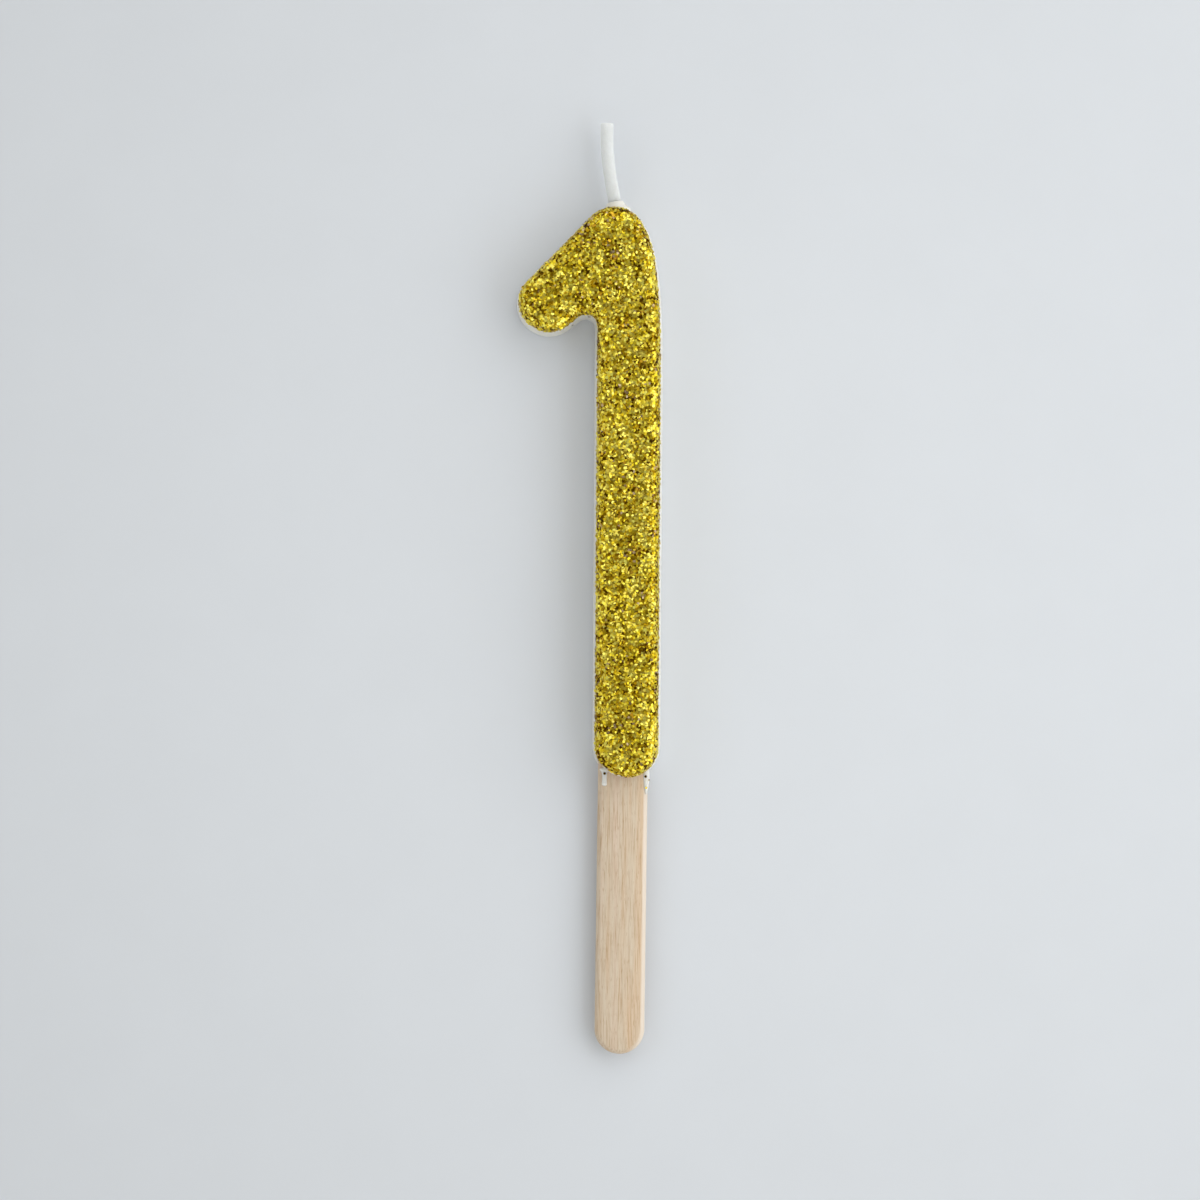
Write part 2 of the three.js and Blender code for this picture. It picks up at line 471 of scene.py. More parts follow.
def bare_share(height):
    """How much of the bare lift there is at a height up the stem."""
    return float(np.interp(height, (-FOOT_END, FOOT_END), (1, BARE_ABOVE_FOOT)))


def adhesive():
    """Clear glue under the glitter, dried glossy: white where bare, and painted dark gold between
    flakes as painted shade.
    """
    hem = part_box("glitter_layer")[0].z
    tree = new_tree("clear_glue_dried")
    at = place_on(tree)
    side = maths(tree, "MAXIMUM", measure(tree, "DOT_PRODUCT", facing(tree), BARE_SIDE), 0.0)
    bare = maths(tree, "POWER", side, BARE_POWER)
    height = split(tree, at)
    low, high = -BARE_LIFT, -BARE_LIFT * BARE_ABOVE_FOOT
    lift = remap(tree, height["Y"], -FOOT_END, FOOT_END, low, high)
    lifted = maths(tree, "MULTIPLY_ADD", bare, lift, height["Z"])
    covered = remap(tree, lifted, hem, hem + HEM_FADE)
    # Painted shade between the flakes: dark gold, mottled 0.25 mm wide
    gap_mottle = pattern(tree, at, scale=1 / (0.25 * MM), detail=2.0)
    gap_shade = ramp(tree, gap_mottle, (0.38, linear("#563c04")), (0.62, linear("#946f10")))
    colour = blend(tree, covered, linear("#e2dccd"), gap_shade)
    end_in_shader(tree, {"Base Color": colour, "Roughness": 0.45, "IOR": 1.36})


# The wood's patterns, far longer along the stick than across it: both in mm, and their detail
GRAIN = (
    ("band", 1.9, 45, 2.0),
    ("fibre", 0.13, 4, 3.0),
    ("pore", 0.1, 1.2, 1.0),
)
SOAKED_AND_SHADED = (4.5 * MM, 5.9 * MM)  # from the middle of the foot, where the darker band of soaked and shaded wood ends


def birch():
    """Birch, rotary cut and sanded: pale, matt, with fine short pores along the stick."""
    settings = bpy.context.scene.candle.stick
    tree = new_tree("birch_sanded")
    at = place_on(tree)
    patterns = {}
    for name, across, along, detail in GRAIN:
        inputs = {
            "Vector": at,
            "Rotation": (0, 0, settings.lean),
            "Scale": (1 / (across * MM), 1 / (along * MM), 1 / (across * MM)),
        }
        stretched = add(tree, "ShaderNodeMapping", inputs).outputs["Vector"]
        patterns[name] = pattern(tree, stretched, scale=1.0, detail=detail)
    # Broad bands of early and late wood
    band = ramp(
        tree,
        patterns["band"],
        (0.3, linear("#d6b998")),
        (0.5, tuple(settings.colour)),
        (0.7, linear("#dbc6b2")),
    )
    # Thin darker fibres, and short brown pores
    fibre = ramp(
        tree,
        patterns["fibre"],
        (0.3, linear("#e2d2c0")),
        (0.5, linear("#faf6f2")),
        (0.66, grey(1.0)),
    )
    pore = ramp(tree, patterns["pore"], (0.3, linear("#dcc6ac")), (0.38, grey(1.0)))
    wood = darken(tree, darken(tree, band, fibre), pore, factor=0.6)
    # Darker, pinker wood next to the foot: partly wax soaked into the wood, partly painted shade
    # cast by the foot
    soaked_and_shaded = remap(tree, measure(tree, "LENGTH", at), *SOAKED_AND_SHADED, low=0.6, high=0.0)
    wood = blend(tree, soaked_and_shaded, wood, linear("#cbae98"))
    # Painted light on the edge that faces right, towards the lamp: it is painted paler from the
    # foot to the tip, partly for wax run down from the smear
    lit_edge_paint = remap(tree, split(tree, facing(tree))["X"], 0.25, 0.6, high=0.85)
    wood = blend(tree, lit_edge_paint, wood, linear("#e4d8ca"))
    end_in_shader(
        tree,
        {
            "Base Color": wood,
            "Roughness": 0.6,
            "Normal": relief(tree, patterns["fibre"], strength=0.35, depth=0.03 * MM),
            "IOR": 1.5,
        },
    )


def waxed_cotton():
    """Cotton, braided and dipped in wax: off white, half matt, the strands softened by wax."""
    tree = new_tree("cotton_braid_waxed")
    # Threads of the strands, 0.1 mm wide
    thread = pattern(tree, place_on(tree), scale=1 / (0.1 * MM), detail=3.0)
    end_in_shader(
        tree,
        {
            "Base Color": ramp(tree, thread, (0.3, linear("#c6c9c9")), (0.65, linear("#ced1d1"))),
            "Roughness": 0.65,
            "Normal": relief(tree, thread, strength=0.4, depth=0.02 * MM),
            "IOR": 1.4,
            # Light comes through the waxed threads, so the shaded side stays pale
            "Subsurface Weight": 1.0,
            "Subsurface Radius": (1.0, 0.98, 0.95),
            "Subsurface Scale": 4 * MM,
        },
    )


SHADE_CENTRE = (0, 20 * MM, 0)
SHADE_REACH = (40 * MM, 120 * MM)  # painted shade greys the table between these distances from there
LIGHT_ACROSS = (-90 * MM, 80 * MM)  # and painted light makes it paler from the left to the right between these


def table_top():
    """Painted board, matt: pale, with the faintest mottle, and painted light and shade: greyer at
    the left and towards the corners.
    """
    table_colour = tuple(bpy.context.scene.candle.stage.table_colour)
    tree = new_tree("board_painted_matt")
    at = place_on(tree)
    # Mottle some 12 mm wide
    mottle = pattern(tree, at, scale=1 / (12 * MM), detail=5.0)
    tone = ramp(tree, mottle, (0.3, grey(0.985)), (0.7, grey(1.0)))
    # Painted light and shade, as the lamp at the right falls off: the table is a little greyer at
    # the left and towards the corners
    away = measure(tree, "DISTANCE", at, SHADE_CENTRE)
    painted_corner_shade = remap(tree, away, *SHADE_REACH, low=1.0, high=0.94)
    painted_side_light = remap(tree, split(tree, at)["X"], *LIGHT_ACROSS, low=0.95, high=1.05)
    paint = maths(tree, "MULTIPLY", painted_side_light, painted_corner_shade)
    colour = darken(tree, table_colour, darken(tree, tone, paint))
    end_in_shader(tree, {"Base Color": colour, "Roughness": 0.8})


# Pieces


HOLLOW_WIDTH = 7 * MM
BORE_GAP = 0.2 * MM  # the CAD leaves less than this round the stick and the wick
BORE_FACES = 0.7  # a wall of a bore faces the stick or the wick at least this squarely


class CANDLE_OT_numeral(bpy.types.Operator):
    """Casts the wax numeral: the CAD's form with its bores closed round the stick and the wick,
    softened and slightly wavy as cast wax is"""

    bl_idname = "candle.numeral"
    bl_label = "Wax Numeral"

    def execute(self, context):
        settings = context.scene.candle.numeral
        piece = copy_of_node("wax_body", "wax_numeral")
        self.close_bores(piece)
        apply_modifier(piece, "REMESH", mode="VOXEL", voxel_size=settings.voxel)
        apply_modifier(piece, "SMOOTH", factor=0.5, iterations=settings.smoothing)
        hollows = bpy.data.textures.new("casting_hollows", "CLOUDS")
        hollows.noise_scale = HOLLOW_WIDTH
        # The texture is black to white, so at this level the wax only ever sinks
        apply_modifier(
            piece,
            "DISPLACE",
            texture=hollows,
            texture_coords="LOCAL",
            mid_level=1.0,
            strength=settings.waviness,
        )
        place(piece, "wax", "paraffin_wax_cast", "wax_body")
        return {"FINISHED"}

    def close_bores(self, piece):
        """Deletes the walls that face the stick and the wick and caps the two mouths."""
        inner = [surface(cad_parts[node]) for node in ("wood_stick", "wick")]
        activate(piece)
        bpy.ops.object.mode_set(mode="EDIT")
        bpy.ops.mesh.select_mode(type="FACE")
        bpy.ops.mesh.select_all(action="DESELECT")
        mesh = bmesh.from_edit_mesh(piece.data)
        for face in mesh.faces:
            centre = face.calc_center_median()
            for tree in inner:
                nearest, _, _, distance = tree.find_nearest(centre)
                towards = (nearest - centre).normalized()
                if distance < BORE_GAP and towards.dot(face.normal) > BORE_FACES:
                    face.select_set(True)
        bmesh.update_edit_mesh(piece.data)
        bpy.ops.mesh.delete(type="FACE")
        bpy.ops.mesh.select_mode(type="EDGE")
        bpy.ops.mesh.select_all(action="DESELECT")
        bpy.ops.mesh.select_non_manifold()
        bpy.ops.mesh.fill_holes(sides=0)
        bpy.ops.mesh.select_all(action="SELECT")
        bpy.ops.mesh.quads_convert_to_tris(ngon_method="BEAUTY")
        bpy.ops.object.mode_set(mode="OBJECT")


class CANDLE_OT_glue(bpy.types.Operator):
    """Gives the CAD's film of adhesive its look"""

    bl_idname = "candle.glue"
    bl_label = "Glue Film"

    def execute(self, context):
        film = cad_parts["adhesive_film"]
        film.data.materials.clear()
        film.data.materials.append(bpy.data.materials["clear_glue_dried"])
        return {"FINISHED"}


TRIES = 9  # points thrown for each flake's square of the surface
RAGGED_LENGTH = 1.1 * MM  # the coat's hem wanders over this length
RAGGED_DEPTH = 0.4 * MM
LIFT = (0.03 * MM, 0.14 * MM)  # the flakes' middles, above the glue
MOST_TILT = math.radians(60)
FLAKE_SIZES = (0.85, 1.12)  # the smallest and the largest flake against a whole one
OUTSIDE = 0.05  # the outer faces of the glue turn up at least this much
CLUMP_LENGTH = 1.5 * MM  # flakes this close lean much the same way
CLUMP_TILT = math.radians(17)
PATCH_LENGTH = 1.5 * MM  # paler and browner flakes lie in patches this wide
PATCH_SHARE = 0.5  # how much of a flake's film its patch decides, against chance


def add_gold(piece):
    """Gives a piece of glitter its films and sets it on the frame."""
    for number in range(len(GOLD_FILMS)):
        piece.data.materials.append(bpy.data.materials[f"gold_lacquered_film_{number + 1}"])
    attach(piece, "root")


class CANDLE_OT_glitter(bpy.types.Operator):
    """Scatters six-sided flakes over the front, its round and the top of the wall"""

    bl_idname = "candle.glitter"
    bl_label = "Glitter"

    def execute(self, context):
        settings = context.scene.candle.glitter
        chance = np.random.default_rng(settings.seed)
        points, normals = self.scatter(settings, chance)
        self.build(settings, chance, points, normals)
        return {"FINISHED"}

    def scatter(self, settings, chance):
        """Points on the outside of the glue with their normals, none closer than the spacing."""
        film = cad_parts["adhesive_film"].data
        hem = min(vertex.co.z for vertex in film.vertices)
        film.calc_loop_triangles()
        outside = [triangle for triangle in film.loop_triangles if triangle.normal.z > OUTSIDE]
        corners = np.array([[film.vertices[i].co for i in t.vertices] for t in outside])
        sides = corners[:, 1:] - corners[:, :1]
        normals = np.cross(sides[:, 0], sides[:, 1])
        areas = np.linalg.norm(normals, axis=1) / 2
        normals /= 2 * areas[:, None]
        tries = int(areas.sum() / settings.spacing**2 * TRIES)
        chosen = chance.choice(len(areas), size=tries, p=areas / areas.sum())
        weights = chance.random((tries, 2))
        weights[weights.sum(1) > 1] = 1 - weights[weights.sum(1) > 1]
        points = corners[chosen, 0] + (weights[:, :, None] * sides[chosen]).sum(1)
        cells = {}
        kept = []
        for index, (point, normal) in enumerate(zip(points, normals[chosen])):
            ragged = noise.noise(Vector(point) / RAGGED_LENGTH) * RAGGED_DEPTH
            away = max(0, BARE_SIDE.x * normal[0] + BARE_SIDE.y * normal[1])
            lift = BARE_LIFT * bare_share(point[1]) * away**BARE_POWER
            if point[2] < hem + lift + ragged:
                continue
            cell = tuple((point // settings.spacing).astype(int))
            near = (
                other
                for i in (-1, 0, 1)
                for j in (-1, 0, 1)
                for k in (-1, 0, 1)
                for other in cells.get((cell[0] + i, cell[1] + j, cell[2] + k), ())
            )
            if all(((point - other) ** 2).sum() > settings.spacing**2 for other in near):
                cells.setdefault(cell, []).append(point)
                kept.append(index)
        return points[kept], normals[chosen[kept]]

    def build(self, settings, chance, points, normals):
        """The flakes as meshes, one for each stretch of the numeral."""
        count = len(points)
        lift = chance.uniform(*LIFT, count)
        tilt = np.abs(chance.normal(0, settings.tilt, count)).clip(0, MOST_TILT)
        lean_way, spin = chance.uniform(0, math.tau, (2, count))
        radius = settings.flake_width / math.sqrt(3) * chance.uniform(*FLAKE_SIZES, count)
        helper = np.where(np.abs(normals[:, :1]) < 0.9, [[1, 0, 0]], [[0, 1, 0]])
        first = np.cross(normals, helper)
        first /= np.linalg.norm(first, axis=1)[:, None]
        second = np.cross(normals, first)
        way = np.cos(lean_way)[:, None] * first + np.sin(lean_way)[:, None] * second
        clumps = np.array([noise.noise_vector(Vector(point) / CLUMP_LENGTH) for point in points])
        clumps *= math.sin(CLUMP_TILT)
        clumps -= normals * (clumps * normals).sum(1)[:, None]
        up = np.cos(tilt)[:, None] * normals + np.sin(tilt)[:, None] * way + clumps
        up /= np.linalg.norm(up, axis=1)[:, None]
        side = np.cross(up, way)
        side /= np.linalg.norm(side, axis=1)[:, None]
        other = np.cross(up, side)
        turn = spin[:, None] + np.arange(6) * math.pi / 3
        rim = radius[:, None, None] * (
            np.cos(turn)[:, :, None] * side[:, None] + np.sin(turn)[:, :, None] * other[:, None]
        )
        middle = points + normals * lift[:, None]
        half = up * settings.flake_thickness / 2
        highest = middle[:, 2] + np.abs(rim[:, :, 2]).max(1) + np.abs(half[:, 2])
        middle[:, 2] -= (highest - cad_high.z).clip(0)
        top = middle[:, None] + rim + half[:, None]
        bottom = middle[:, None] + rim - half[:, None]
        corners = np.concatenate([top, bottom], axis=1)
        patches = np.array([noise.noise(Vector(point) / PATCH_LENGTH) for point in points])
        rank = (chance.random(count) + PATCH_SHARE * patches).argsort().argsort() / count
        shares = np.cumsum([share for _, share, _ in GOLD_FILMS])
        tints = np.searchsorted(shares[:-1], rank, side="right")
        faces = [(0, 1, 2, 3, 4, 5), (11, 10, 9, 8, 7, 6)]
        faces += [(i, i + 6, (i + 1) % 6 + 6, (i + 1) % 6) for i in range(6)]
        names = ("glitter_lower_stem", "glitter_upper_stem", "glitter_head_and_flag")
        order = np.argsort(points[:, 1])
        for name, part in zip(names, np.array_split(order, len(names))):
            mesh = bpy.data.meshes.new(name)
            mesh.from_pydata(
                corners[part].reshape(-1, 3),
                [],
                [tuple(12 * i + j for j in face) for i in range(len(part)) for face in faces],
            )
            mesh.polygons.foreach_set("material_index", np.repeat(tints[part], len(faces)))
            piece = new_piece(name, mesh)
            add_gold(piece)
            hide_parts("glitter_layer")


EDGE_SEGMENTS = 5
EDGE_PROFILE = 0.38  # a little flatter than a full round
EDGE_ANGLE = math.radians(40)  # edges sharper than this are sanded
END_SEGMENTS = 64


class CANDLE_OT_stick(bpy.types.Operator):
    """Cuts the flat birch stick with its round ends and eases its edges"""

    bl_idname = "candle.stick"
    bl_label = "Birch Stick"

    def execute(self, context):
        settings = context.scene.candle.stick
        low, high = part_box("wood_stick")
        size = high - low
        lean = settings.lean
        # A leaning bar with round ends: its box gives the distance between its ends' centres
        between = (size.y - size.x) / (math.cos(lean) - math.sin(lean))
        width = size.x - between * math.sin(lean)
        centre = (low + high) / 2
        foot = Vector((centre.x, centre.y - between / 2, low.z))
        bpy.ops.object.select_all(action="DESELECT")
        bpy.ops.mesh.primitive_circle_add(
            vertices=END_SEGMENTS, radius=width / 2, fill_type="NGON", location=foot
        )
        piece = context.object
        piece.name = piece.data.name = "birch_stick"
        bpy.ops.object.transform_apply(location=True, rotation=False, scale=False)
        bpy.ops.object.mode_set(mode="EDIT")
        # The far half of the disc slides up to the hidden end
        bpy.ops.mesh.select_mode(type="VERT")
        bpy.ops.mesh.select_all(action="DESELECT")
        mesh = bmesh.from_edit_mesh(piece.data)
        bmesh.ops.bisect_plane(
            mesh,
            geom=mesh.verts[:] + mesh.edges[:] + mesh.faces[:],
            dist=MERGE,
            plane_co=foot,
            plane_no=(0, 1, 0),
        )
        for vertex in mesh.verts:
            vertex.select_set(vertex.co.y > foot.y + MERGE)
        for vertex in mesh.verts:
            if vertex.select:
                vertex.co.y += between
        bmesh.update_edit_mesh(piece.data)
        bpy.ops.mesh.select_all(action="SELECT")
        bpy.ops.mesh.extrude_region_move(TRANSFORM_OT_translate={"value": (0, 0, size.z)})
        bpy.ops.mesh.select_all(action="SELECT")
        bpy.ops.mesh.normals_make_consistent(inside=False)
        bpy.ops.transform.rotate(
            value=lean, orient_axis="Z", center_override=(centre.x, centre.y, centre.z)
        )
        bpy.ops.object.mode_set(mode="OBJECT")
        apply_modifier(
            piece,
            "BEVEL",
            width=settings.edge_round,
            segments=EDGE_SEGMENTS,
            profile=EDGE_PROFILE,
            limit_method="ANGLE",
            angle_limit=EDGE_ANGLE,
        )
        place(piece, "birch", "birch_sanded", "wood_stick")
        return {"FINISHED"}


WICK_END = 0.15 * MM  # length of the eased cut end
WICK_UNEVEN = 0.03 * MM
UNEVEN_LENGTH = 1.6 * MM
RING_GAP = 0.35 * MM  # rings of the CAD's wick lie further apart than this
BRAID_LEVEL = 0.65  # the strands' mean height
BRAID_OVER = 0.35  # and how far they rise and sink as they cross


class CANDLE_OT_wick(bpy.types.Operator):
    """Draws the wick along the CAD's route, with the soft relief of its waxed braid"""

    bl_idname = "candle.wick"
    bl_label = "Waxed Wick"

    def execute(self, context):
        settings = context.scene.candle.wick
        low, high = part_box("wick")
        radius = (high.z - low.z) / 2
        route = self.route()
        piece = self.rod(route, radius, settings.step)
        heights = [point.y for point in route]
        across = [point.x for point in route]
        for vertex in piece.data.vertices:
            vertex.co.y = min(vertex.co.y, high.y)
            axis = Vector((np.interp(vertex.co.y, heights, across), vertex.co.y, route[0].z))
            out = vertex.co - axis
            if out.length < radius / 2:
                continue
            depth = settings.relief * (1 - self.braid(settings, out, vertex.co.y))
            # The cut end is eased, and the wax on the rod is never quite even
            end = max(0, 1 - (high.y - vertex.co.y) / WICK_END)
            depth += 0.5 * WICK_END * end**2
            depth += WICK_UNEVEN * (0.5 + 0.5 * noise.noise(vertex.co / UNEVEN_LENGTH))
            vertex.co = axis + out * (1 - depth / radius)
        place(piece, "cotton", "cotton_braid_waxed", "wick")
        return {"FINISHED"}

    def route(self):
        """The CAD wick's centre line: the middle of each ring of its vertices."""
        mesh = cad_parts["wick"].data
        rings = []
        last = None
        for point in sorted((vertex.co.copy() for vertex in mesh.vertices), key=lambda p: p.y):
            if last is None or point.y - last > RING_GAP:
                rings.append([])
            rings[-1].append(point)
            last = point.y
        return [(Vector(map(min, *ring)) + Vector(map(max, *ring))) / 2 for ring in rings]

    def rod(self, route, radius, step):
        """A round rod with closed ends along the route, with a ring of vertices at each step."""
        curve = bpy.data.curves.new("waxed_wick", "CURVE")
        curve.dimensions = "3D"
        curve.bevel_depth = radius
        curve.bevel_resolution = 22
        curve.use_fill_caps = True
        line = []
        for start, end in zip(route, route[1:]):
            steps = math.ceil((end - start).length / step)
            line += [start.lerp(end, i / steps) for i in range(steps)]
        line.append(route[-1])
        spline = curve.splines.new("POLY")
        spline.points.add(len(line) - 1)
        for point, at in zip(spline.points, line):
            point.co = (*at, 1)
        piece = bpy.data.objects.new("waxed_wick", curve)
        bpy.context.scene.collection.objects.link(piece)
        activate(piece)
        bpy.ops.object.convert(target="MESH")
        bpy.ops.object.mode_set(mode="EDIT")
        bpy.ops.mesh.select_all(action="SELECT")
        bpy.ops.mesh.remove_doubles(threshold=MERGE)
        bpy.ops.mesh.normals_make_consistent(inside=False)
        bpy.ops.object.mode_set(mode="OBJECT")
        return bpy.context.object

    def braid(self, settings, out, height):
        """Height of the braid from 0 in its grooves to 1: strands cross over and under."""
        around = settings.strands * math.atan2(out.z, out.x)
        along = settings.strands * math.tau * height / settings.pitch
        over = BRAID_OVER * math.cos(around)
        one_way = abs(math.cos((around - along) / 2)) * (BRAID_LEVEL + over)
        other_way = abs(math.cos((around + along) / 2)) * (BRAID_LEVEL - over)
        return max(one_way, other_way)


DRIP_WIDTH = 0.72 * MM
DRIP_RISE = 0.3 * MM  # above the stick's face
DRIP_ROOT = 0.3 * MM  # the drip starts this much further inside the foot than the CAD's
SMEAR_ROOT = 0.9 * MM  # and the smear this much, so that it is still thick where it comes out
DRIP_SPREAD = 0.3 * MM  # the drip widens over this length where it leaves the foot
DRIP_FULL = 0.5 * MM  # and is fuller over this length at its round end
DRIP_RINGS = 10
SMEAR_TAPER = 0.45  # how much thinner the smear is at its far end
SMEAR_RISE = 0.25  # share of the CAD smear's rise above the stick's face
SMEAR_THIN = 0.2 * MM  # the CAD's smear stands out this much more


class CANDLE_OT_runs(bpy.types.Operator):
    """Adds the drip and the smear of wax that ran on to the stick"""

    bl_idname = "candle.runs"
    bl_label = "Wax Runs"

    def execute(self, context):
        self.drip()
        self.smear()
        return {"FINISHED"}

    def ball(self, name, low, high):
        """A ball stretched to a box, which the runs are shaped from."""
        bpy.ops.object.select_all(action="DESELECT")
        bpy.ops.mesh.primitive_uv_sphere_add(
            segments=48, ring_count=32, radius=0.5, location=(low + high) / 2
        )
        piece = bpy.context.object
        piece.name = piece.data.name = name
        piece.scale = high - low
        bpy.ops.object.transform_apply(location=True, rotation=False, scale=True)
        return piece

    def drip(self):
        """A narrow run with a full round end, spreading where it leaves the foot."""
        low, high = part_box("wax_drip")
        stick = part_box("wood_stick")[1].z
        middle = (low.x + high.x) / 2
        root = high.y + DRIP_ROOT
        end = Vector((DRIP_WIDTH / 2, DRIP_WIDTH, 0))
        piece = self.ball(
            "drip_on_stick",
            Vector((middle, low.y, stick - DRIP_RISE)) - Vector((end.x, 0, 0)),
            Vector((middle, low.y, stick + DRIP_RISE)) + end,
        )
        turn = low.y + DRIP_WIDTH / 2
        for vertex in piece.data.vertices:
            if vertex.co.y > turn:
                vertex.co.y += root - low.y - DRIP_WIDTH
        activate(piece)
        bpy.ops.object.mode_set(mode="EDIT")
        mesh = bmesh.from_edit_mesh(piece.data)
        for ring in range(1, DRIP_RINGS):
            along = (root - DRIP_WIDTH / 2 - turn) * ring / DRIP_RINGS
            bmesh.ops.bisect_plane(
                mesh,
                geom=mesh.verts[:] + mesh.edges[:] + mesh.faces[:],
                dist=MERGE,
                plane_co=(0, turn + along, 0),
                plane_no=(0, 1, 0),
            )
        bmesh.update_edit_mesh(piece.data)
        bpy.ops.object.mode_set(mode="OBJECT")
        for vertex in piece.data.vertices:
            spread = math.exp((vertex.co.y - high.y) / DRIP_SPREAD)
            full = math.exp((low.y - vertex.co.y) / DRIP_FULL)
            vertex.co.x = middle + (vertex.co.x - middle) * min(2, 0.85 + spread + 0.3 * full)
            vertex.co.z = stick + (vertex.co.z - stick) * min(1, 0.6 + 0.4 * spread + 0.6 * full)
        place(piece, "wax", "paraffin_wax_cast", "wax_drip")

    def smear(self):
        """A thin film that wraps the stick's edge and thins out away from the foot."""
        low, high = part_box("wax_smear")
        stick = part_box("wood_stick")[1].z
        low.x -= SMEAR_THIN
        high.x -= SMEAR_THIN
        piece = self.ball("smear_on_stick", low, high + Vector((0, SMEAR_ROOT, 0)))
        middle = (low.x + high.x) / 2
        for vertex in piece.data.vertices:
            share = (high.y - vertex.co.y) / (high.y - low.y)
            thin = 1 - SMEAR_TAPER * max(0, share)
            vertex.co.x = middle + (vertex.co.x - middle) * thin
            if vertex.co.z > stick:
                vertex.co.z = stick + (vertex.co.z - stick) * SMEAR_RISE * thin
        place(piece, "wax", "paraffin_wax_cast", "wax_smear")


# Flakes that fell beside the coat and stuck: right and up from the middle of the foot, in mm,
# with their film, their size against a whole flake's and their lean to the right, in degrees
STRAYS = (
    (-2.94, -3.75, 6, 0.9, 0),
    (2.66, -4.13, 6, 0.9, 0),
    (3.1, -4.6, 7, 0.6, 10),
    (2.75, -5.68, 1, 0.8, 25),
    (-5.44, 58.4, 5, 0.9, 0),
    (-7.73, 57.3, 6, 0.6, 0),
)


class CANDLE_OT_strays(bpy.types.Operator):
    """Sticks the stray flakes on what lies under them"""

    bl_idname = "candle.strays"
    bl_label = "Stray Flakes"

    def execute(self, context):
        settings = context.scene.candle.glitter
        carriers = [
            surface(bpy.data.objects[name])
            for name in ("wax_numeral", "birch_stick", "drip_on_stick", "smear_on_stick")
        ]
        made = bmesh.new()
        for right, up, film, size, lean in STRAYS:
            above = Vector((right * MM, up * MM, cad_high.z))
            hits = [tree.ray_cast(above, Vector((0, 0, -1))) for tree in carriers]
            hits = [hit for hit in hits if hit[0] is not None]
            if not hits:
                raise RuntimeError(f"Nothing carries the stray flake at {right}, {up}")
            point, normal, _, _ = max(hits, key=lambda hit: hit[0].z)
            flat = normal.to_track_quat("Z", "Y").to_matrix().to_4x4()
            lifted = Matrix.Translation(point + normal * settings.flake_thickness)
            leaned = lifted @ Matrix.Rotation(math.radians(lean), 4, "Y")
            flake = bmesh.ops.create_circle(
                made,
                cap_ends=True,
                segments=6,
                radius=size * settings.flake_width / math.sqrt(3),
                matrix=leaned @ flat,
            )
            face = flake["verts"][0].link_faces[0]
            face.material_index = film - 1
            grown = bmesh.ops.extrude_face_region(made, geom=[face], use_keep_orig=True)
            moved = [item for item in grown["geom"] if isinstance(item, bmesh.types.BMVert)]
            bmesh.ops.translate(made, verts=moved, vec=normal * settings.flake_thickness)
        bmesh.ops.recalc_face_normals(made, faces=made.faces[:])
        mesh = bpy.data.meshes.new("stray_flakes")
        made.to_mesh(mesh)
        made.free()
        add_gold(new_piece("stray_flakes", mesh))
        return {"FINISHED"}


# Camera, lamp and table


WINDOW_HEIGHT = math.radians(46)  # above the table
WINDOW_TURN = math.radians(22)  # from straight right towards the wick
WINDOW_DISTANCE = 0.5
WINDOW_SIZE = (0.9, 0.55)
FAR_TABLE = 0.53  # the far table top's brightness against the room's
FAR_TINT = "#f4fbff"
BAND_END = (0.05, 0.12)  # the room fades in between these heights, as sines above the horizon
# The walls' and the ceiling's brightness, by the same kind of height
WALLS = ((0.08, 1.0), (0.5, 1.05), (0.76, 1.0), (0.9, 0.55), (0.98, 0.3))
PANE_EDGES = (0.4, 0.6)  # levels of the pattern where a dark thing ends and a bright one starts
DIM_TINT = "#ffe9bd"
BRIGHT_TINT = "#eaf4ff"
TABLE_SIZE = 6.0
SENSOR = 36.0  # the camera's, wide, in mm
PICTURE_CENTRE = (-3.71 * MM, 19.84 * MM)  # the candle's place in the photo
PICTURE_TURN = 0.00646  # the photo's slight roll, in radians


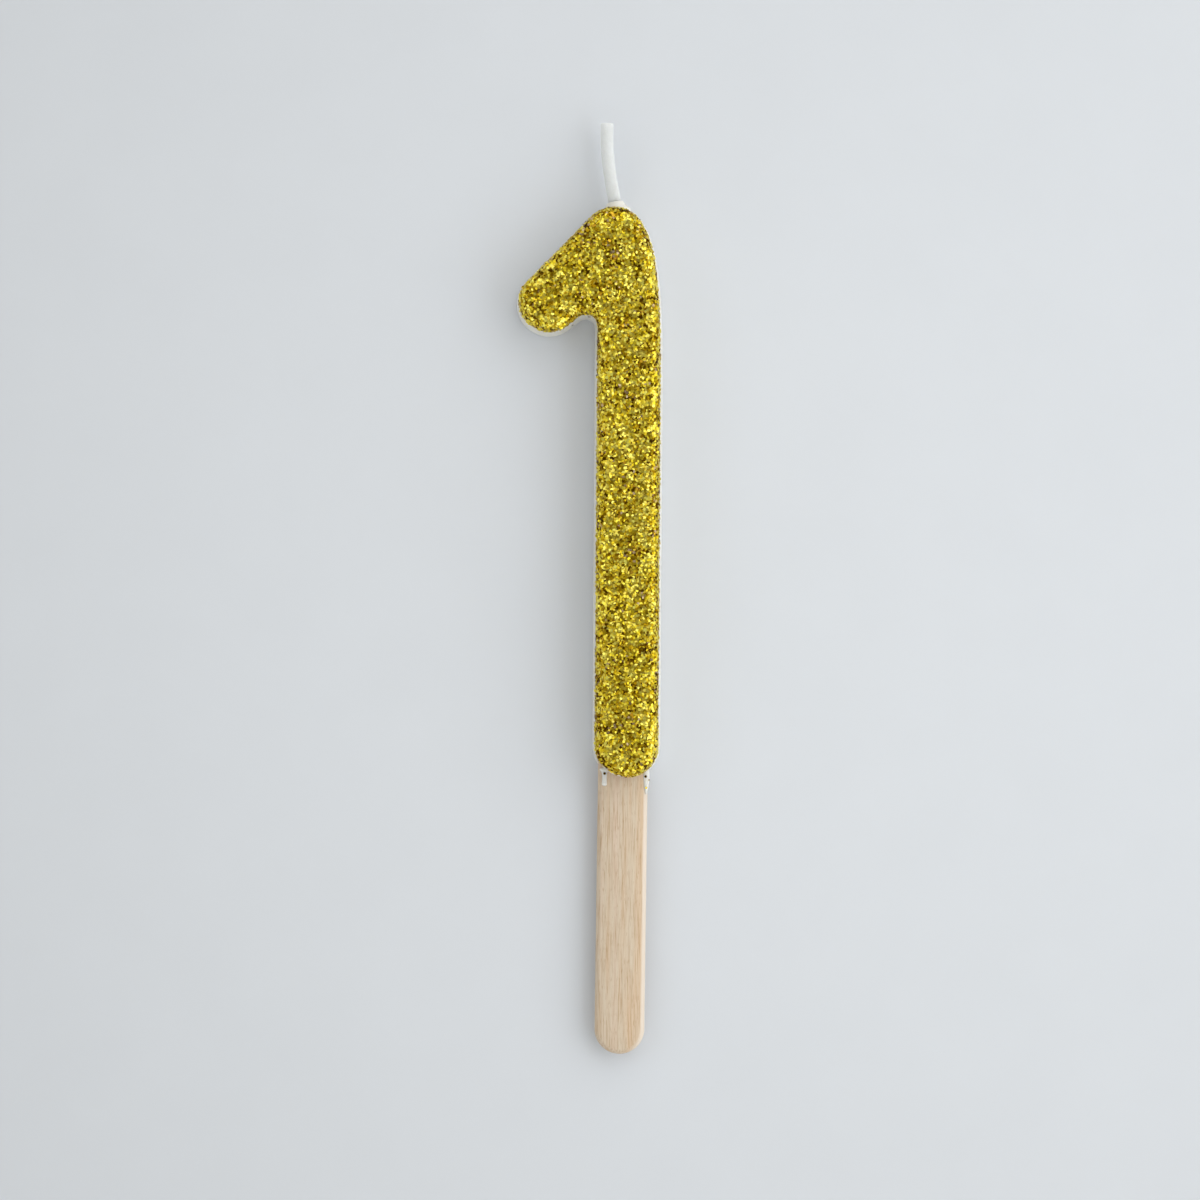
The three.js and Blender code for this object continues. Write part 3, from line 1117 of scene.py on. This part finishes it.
class CANDLE_OT_stage(bpy.types.Operator):
    """Sets the table, the soft lamp at the upper right, the room light and the camera above"""

    bl_idname = "candle.stage"
    bl_label = "Stage"

    def execute(self, context):
        settings = context.scene.candle.stage
        self.table()
        self.lights(settings)
        self.camera(settings)
        context.scene.view_settings.view_transform = "Standard"
        return {"FINISHED"}

    def table(self):
        """The table top, a hair under the wax."""
        bpy.ops.object.select_all(action="DESELECT")
        bpy.ops.mesh.primitive_plane_add(size=TABLE_SIZE, location=(0, 0, -TOUCH))
        top = bpy.context.object
        top.name = "table_top"
        top.data.materials.append(bpy.data.materials["board_painted_matt"])

    def lights(self, settings):
        """The window's soft lamp, and the room that the flakes mirror."""
        data = bpy.data.lights.new("window", "AREA")
        data.shape = "RECTANGLE"
        data.size, data.size_y = WINDOW_SIZE
        data.energy = settings.window_power
        lamp = bpy.data.objects.new("window", data)
        lamp.visible_camera = False
        lamp.visible_glossy = False
        bpy.context.scene.collection.objects.link(lamp)
        aside = Vector((math.cos(WINDOW_TURN), math.sin(WINDOW_TURN), 0))
        direction = aside * math.cos(WINDOW_HEIGHT) + Vector((0, 0, math.sin(WINDOW_HEIGHT)))
        lamp.location = (cad_low + cad_high) / 2 + direction * WINDOW_DISTANCE
        lamp.rotation_mode = "QUATERNION"
        lamp.rotation_quaternion = direction.to_track_quat("Z", "Y")
        world = bpy.data.worlds.new("room")
        bpy.context.scene.world = world
        world.use_nodes = True
        tree = world.node_tree
        tree.nodes.clear()
        way = add(tree, "ShaderNodeTexCoord").outputs["Generated"]
        height = split(tree, way)["Z"]
        # Walls brighter than the ceiling, which gives the flakes something to mirror
        walls = ramp(tree, height, *((at, grey(level)) for at, level in WALLS))
        # Doors, shelves and panes, some 15 degrees wide, so that no two flakes mirror the same
        things = pattern(tree, way, scale=4.5, detail=1.0)
        panes = remap(tree, things, *PANE_EDGES, low=0.3, high=1.7)
        # What is dim in the room is warm, and what is bright is daylight
        ends = zip(PANE_EDGES, (linear(DIM_TINT), linear(BRIGHT_TINT)))
        tint = ramp(tree, things, *ends)
        side = measure(tree, "DOT_PRODUCT", way, aside)
        low, high = 1 - settings.room_slope, 1 + settings.room_slope
        slope = remap(tree, side, -1.0, 1.0, low, high)
        room = maths(tree, "MULTIPLY", maths(tree, "MULTIPLY", walls, slope), panes)
        # A low band as bright as the far table top, so that no line parts the two
        above = remap(tree, height, *BAND_END)
        tone = blend(tree, above, FAR_TABLE, room, data_type="FLOAT")
        hue = blend(tree, above, linear(FAR_TINT), tint)
        light = maths(tree, "MULTIPLY", tone, settings.room_light)
        sky = add(tree, "ShaderNodeBackground", {"Color": hue, "Strength": light})
        add(tree, "ShaderNodeOutputWorld", {"Surface": sky.outputs["Background"]})

    def camera(self, settings):
        """The camera, straight above the candle's front."""
        centre = Vector((*PICTURE_CENTRE, cad_high.z))
        data = bpy.data.cameras.new("camera")
        data.sensor_width = SENSOR
        data.lens = SENSOR * settings.height / settings.frame_width
        data.clip_start = 0.01
        data.clip_end = 20
        camera = bpy.data.objects.new("camera", data)
        bpy.context.scene.collection.objects.link(camera)
        camera.location = centre + Vector((0, 0, settings.height))
        camera.rotation_euler = (0, 0, PICTURE_TURN)
        bpy.context.scene.camera = camera


class CANDLE_PT_pieces(bpy.types.Panel):
    """Lists the candle's pieces and their settings"""

    bl_idname = "CANDLE_PT_pieces"
    bl_label = "Number Candle"
    bl_space_type = "VIEW_3D"
    bl_region_type = "UI"
    bl_category = "Candle"

    def draw(self, context):
        settings = context.scene.candle
        for title, group, operators in (
            ("Wax", settings.numeral, ("candle.numeral", "candle.runs")),
            ("Coat", settings.glitter, ("candle.glue", "candle.glitter", "candle.strays")),
            ("Stick", settings.stick, ("candle.stick",)),
            ("Wick", settings.wick, ("candle.wick",)),
            ("Stage", settings.stage, ("candle.stage",)),
        ):
            box = self.layout.box()
            box.label(text=title)
            for name in group.bl_rna.properties.keys():
                if name not in {"rna_type", "name"}:
                    box.prop(group, name)
            for operator in operators:
                box.operator(operator)


CLASSES = (
    NumeralSettings,
    GlitterSettings,
    StickSettings,
    WickSettings,
    StageSettings,
    CandleSettings,
    CANDLE_OT_numeral,
    CANDLE_OT_glue,
    CANDLE_OT_glitter,
    CANDLE_OT_stick,
    CANDLE_OT_wick,
    CANDLE_OT_runs,
    CANDLE_OT_strays,
    CANDLE_OT_stage,
    CANDLE_PT_pieces,
)


def register():
    for item in CLASSES:
        bpy.utils.register_class(item)
    bpy.types.Scene.candle = PointerProperty(type=CandleSettings)


def unregister():
    del bpy.types.Scene.candle
    for item in reversed(CLASSES):
        bpy.utils.unregister_class(item)


def main():
    register()
    for finish in (paraffin_wax, gold_films, adhesive, birch, waxed_cotton, table_top):
        finish()
    bpy.ops.candle.stage()
    bpy.ops.candle.numeral()
    bpy.ops.candle.glue()
    bpy.ops.candle.glitter()
    bpy.ops.candle.stick()
    bpy.ops.candle.wick()
    bpy.ops.candle.runs()
    bpy.ops.candle.strays()


if __name__ == "__main__":
    main()
